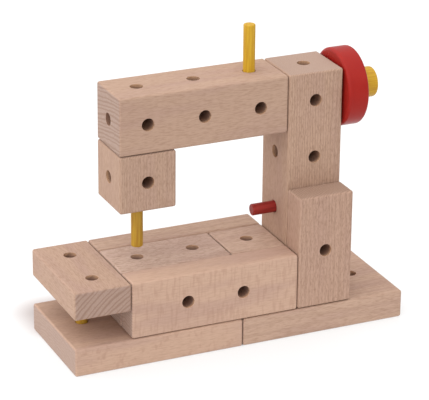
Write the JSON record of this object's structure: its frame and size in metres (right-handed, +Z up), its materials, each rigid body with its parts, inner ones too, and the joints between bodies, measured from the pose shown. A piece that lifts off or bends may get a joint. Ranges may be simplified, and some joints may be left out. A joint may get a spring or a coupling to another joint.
{
  "type": "toy sewing machine",
  "caption": "Wooden construction-kit toy sewing machine: bored beech blocks and boards pegged with dowels, with a turning handwheel, a sliding needle rod, a spool pin and a push button.",
  "frame": {"origin": "centre of the base's underside, which is also the bottom centre of the whole object's box", "axes": "+X along the arm towards the handwheel, +Y away from the operator, +Z up"},
  "size_m": [0.1798, 0.0598, 0.1588],
  "materials": {
    "beech": "planed and sanded bare beech, matt, with fine flecks",
    "yellow_rod": "turned beech stained yellow, low sheen",
    "red_rod": "turned beech stained dark red, low sheen",
    "red_wheel": "turned wood painted red, satin"
  },
  "bodies": {
    "machine_frame": {"base_board_left": "beech", "base_board_right": "beech", "base_peg_1": "beech", "base_peg_2": "beech", "base_peg_3": "beech", "base_peg_4": "beech", "bed_beam": "beech", "bed_cube": "beech", "bed_front_rail": "beech", "bed_back_rail": "beech", "rail_peg_1": "beech", "rail_peg_2": "beech", "extension_table": "beech", "table_support_rod": "yellow_rod", "column_post": "beech", "column_plate": "beech", "plate_peg_1": "beech", "plate_peg_2": "beech", "bed_tie_rod": "beech", "arm_beam": "beech", "needle_head_cube": "beech", "spool_pin": "yellow_rod", "axle_rod": "yellow_rod", "wheel_cap": "yellow_rod"},
    "handwheel": {"handwheel": "red_wheel"},
    "needle": {"needle_rod": "yellow_rod"},
    "button": {"stitch_button": "red_rod"}
  },
  "joints": [
    {"name": "handwheel_spin", "type": "hinge", "parent": "machine_frame", "child": "handwheel", "pos_m": [0.06675, 0, 0.11985], "axis": [1, 0, 0], "continuous": true},
    {"name": "needle_slide", "type": "slide", "parent": "machine_frame", "child": "needle", "axis": [0, 0, 1], "range_m": [-0.015, 0.022]},
    {"name": "button_slide", "type": "slide", "parent": "machine_frame", "child": "button", "axis": [1, 0, 0], "range_m": [-0.006, 0.01]}
  ]
}
